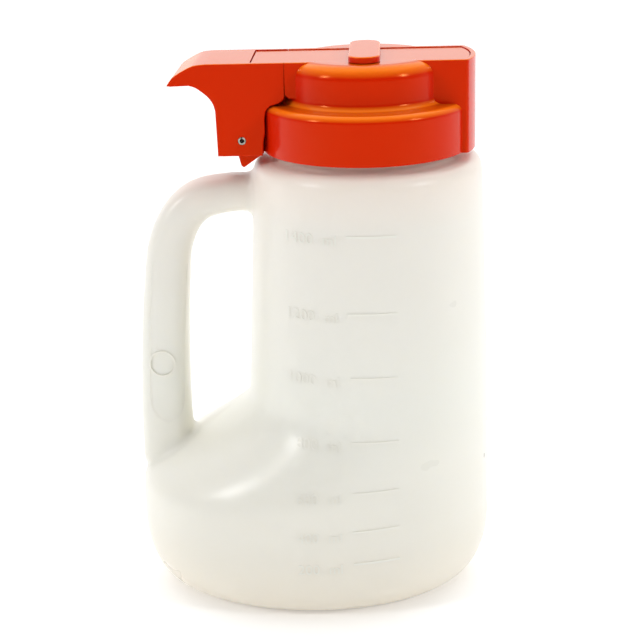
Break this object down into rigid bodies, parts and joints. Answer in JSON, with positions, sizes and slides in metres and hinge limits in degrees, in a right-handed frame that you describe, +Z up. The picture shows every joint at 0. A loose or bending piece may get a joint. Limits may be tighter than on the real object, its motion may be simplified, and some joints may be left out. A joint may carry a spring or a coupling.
{
  "type": "graduated jug",
  "caption": "Milky blow-moulded plastic jug with a hollow side handle and a screw lid whose thumb lever draws a flat shutter off the pouring hole.",
  "frame": {"origin": "the middle of the base's bounding box, on the surface the jug stands on", "axes": "+Z up, +X from the handle towards the pouring end, +Y away from the graduated face"},
  "size_m": [0.1464, 0.1138, 0.2245],
  "materials": {
    "jug_plastic": "milky, slightly see-through, soft satin skin",
    "orange_plastic": "glossy injection moulding",
    "seal_rubber": "soft grey silicone",
    "pin_steel": "dull spring steel"
  },
  "bodies": {
    "jug": {"jug": "jug_plastic"},
    "neck_seal": {"lid_gasket": "seal_rubber"},
    "lid": {"lid_shell": "orange_plastic", "slide_keeper": "orange_plastic", "pivot_pin": "pin_steel", "return_spring": "pin_steel"},
    "thumb_lever": {"thumb_lever": "orange_plastic"},
    "shutter": {"shutter_slide": "orange_plastic", "shutter_pad": "seal_rubber"}
  },
  "joints": [
    {"name": "lid_rise", "type": "slide", "parent": "jug", "child": "neck_seal", "axis": [0, 0, 1], "range_m": [0, 0.036]},
    {"name": "lid_turn", "type": "hinge", "parent": "neck_seal", "child": "lid", "pos_m": [0.024, 0, 0.195], "axis": [0, 0, 1], "range_deg": [0, 1080]},
    {"name": "lever_pivot", "type": "hinge", "parent": "lid", "child": "thumb_lever", "pos_m": [-0.0242, 0, 0.1915], "axis": [0, -1, 0], "range_deg": [0, 16], "stiffness_Nm_per_rad": 0.15, "springref_deg": -20.05, "deforming": ["return_spring"]},
    {"name": "shutter_travel", "type": "slide", "parent": "lid", "child": "shutter", "axis": [-1, 0, 0], "range_m": [0, 0.0072]}
  ],
  "couplings": [
    {"joint": "lid_rise", "follows": "lid_turn", "m_per_rad": 0.0019099},
    {"joint": "shutter_travel", "follows": "lever_pivot", "m_per_rad": 0.025}
  ]
}
